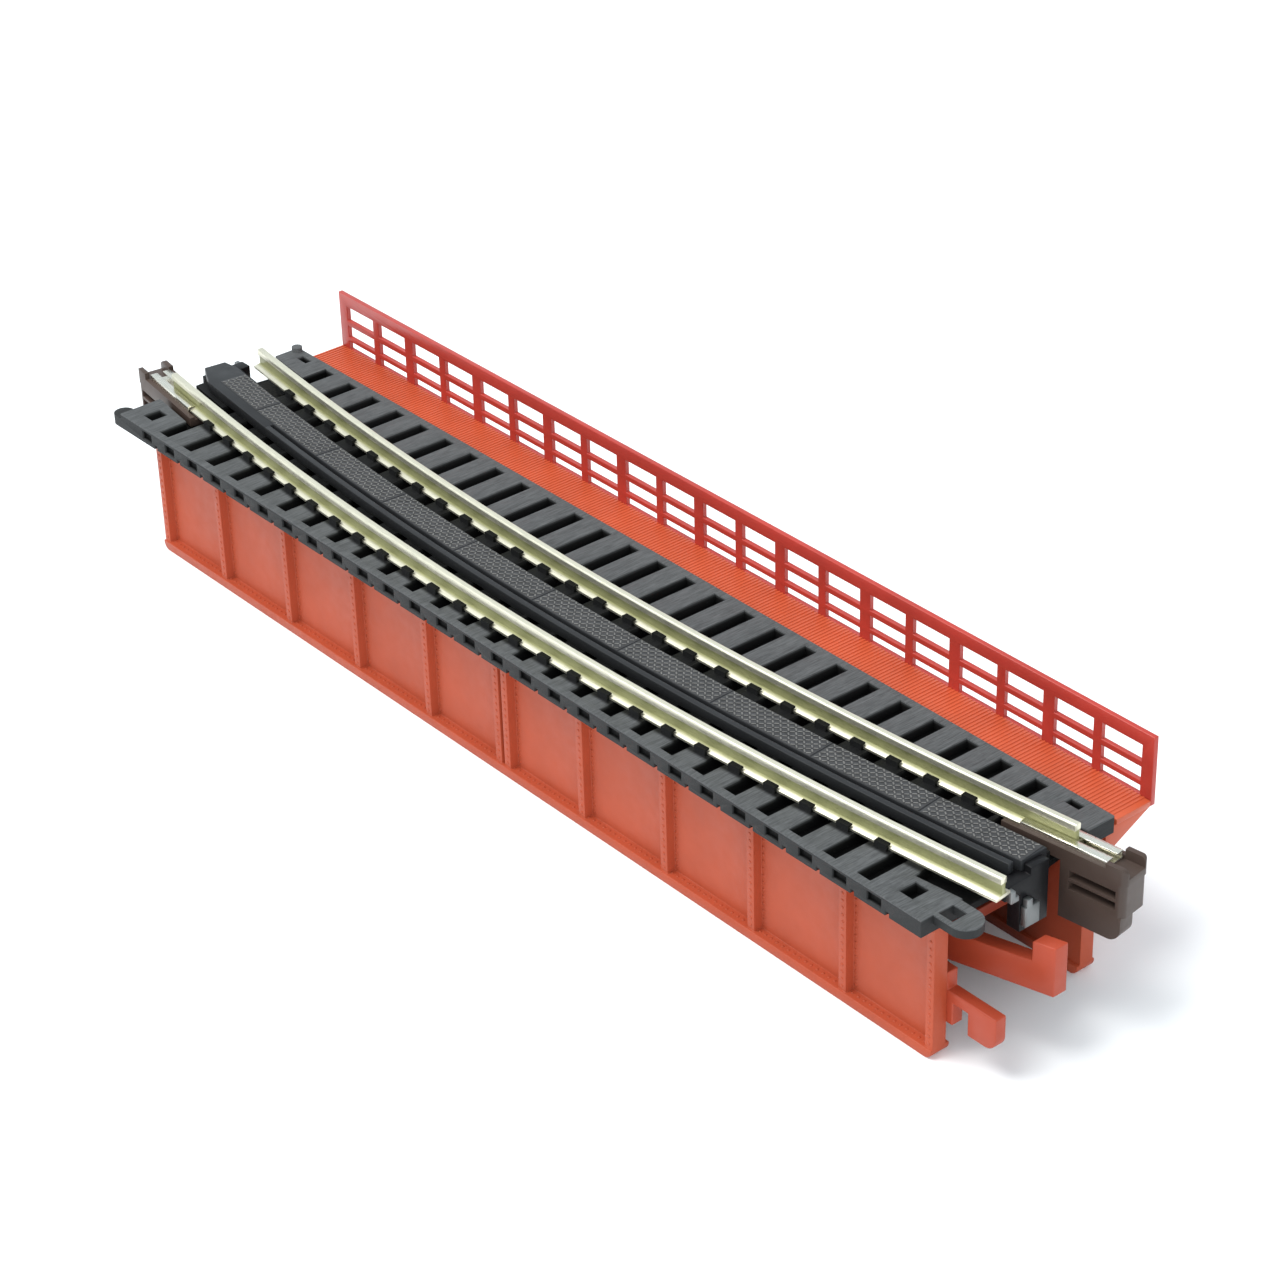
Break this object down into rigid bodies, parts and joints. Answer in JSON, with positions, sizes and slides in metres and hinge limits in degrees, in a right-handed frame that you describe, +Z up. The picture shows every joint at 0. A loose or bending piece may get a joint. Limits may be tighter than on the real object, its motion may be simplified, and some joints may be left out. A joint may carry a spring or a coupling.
{
  "type": "model track section",
  "caption": "Curved single-track deck girder bridge section for model trains, with rails on a tie deck, a side walkway with railing and sliding rail joiners.",
  "frame": {"origin": "middle of the chord that joins the rail ends, at the height of the surface the girders stand on", "axes": "+X along the chord, +Y to the inside of the curve (the walkway side), +Z up"},
  "size_m": [0.1289, 0.0266, 0.0209],
  "materials": {
    "girder_red": "semi-matt moulded plastic",
    "frame_red": "semi-matt moulded plastic",
    "walkway_red": "finely ribbed moulded plastic",
    "bracket_red": "semi-matt moulded plastic",
    "railing_red": "semi-matt moulded plastic",
    "deck_black": "dark moulded plastic with wood grain",
    "rail_metal": "drawn nickel-silver rail",
    "panel_grey": "chequer-plate pattern",
    "block_black": "plain moulded plastic",
    "finger_metal": "dull strip metal",
    "joiner_brown": "smooth moulded plastic",
    "clip_metal": "bright pressed metal"
  },
  "bodies": {
    "bridge": {"contact_fingers_left": "finger_metal", "contact_fingers_right": "finger_metal", "cross_frame_left": "frame_red", "cross_frame_middle": "frame_red", "cross_frame_right": "frame_red", "end_block_left": "block_black", "end_block_right": "block_black", "end_frame_left": "frame_red", "end_frame_right": "frame_red", "footplate": "panel_grey", "guard_rail": "panel_grey", "inner_girder": "girder_red", "inner_rail": "rail_metal", "outer_girder": "girder_red", "outer_rail": "rail_metal", "railing": "railing_red", "tie_deck": "deck_black", "walkway_bracket_01": "bracket_red", "walkway_bracket_02": "bracket_red", "walkway_bracket_03": "bracket_red", "walkway_bracket_04": "bracket_red", "walkway_bracket_05": "bracket_red", "walkway_bracket_06": "bracket_red", "walkway_bracket_07": "bracket_red", "walkway_bracket_08": "bracket_red", "walkway_bracket_09": "bracket_red", "walkway_bracket_10": "bracket_red", "walkway_bracket_11": "bracket_red", "walkway_plate": "walkway_red"},
    "joiner_right": {"joiner_shell_right": "joiner_brown", "joiner_clip_right": "clip_metal"},
    "joiner_left": {"joiner_shell_left": "joiner_brown", "joiner_clip_left": "clip_metal"}
  },
  "joints": [
    {"name": "joiner_right_slide", "type": "slide", "parent": "bridge", "child": "joiner_right", "axis": [0.9914, 0.1305, 0], "range_m": [0, 0.0065]},
    {"name": "joiner_left_slide", "type": "slide", "parent": "bridge", "child": "joiner_left", "axis": [-0.9914, 0.1305, 0], "range_m": [0, 0.0065]}
  ]
}
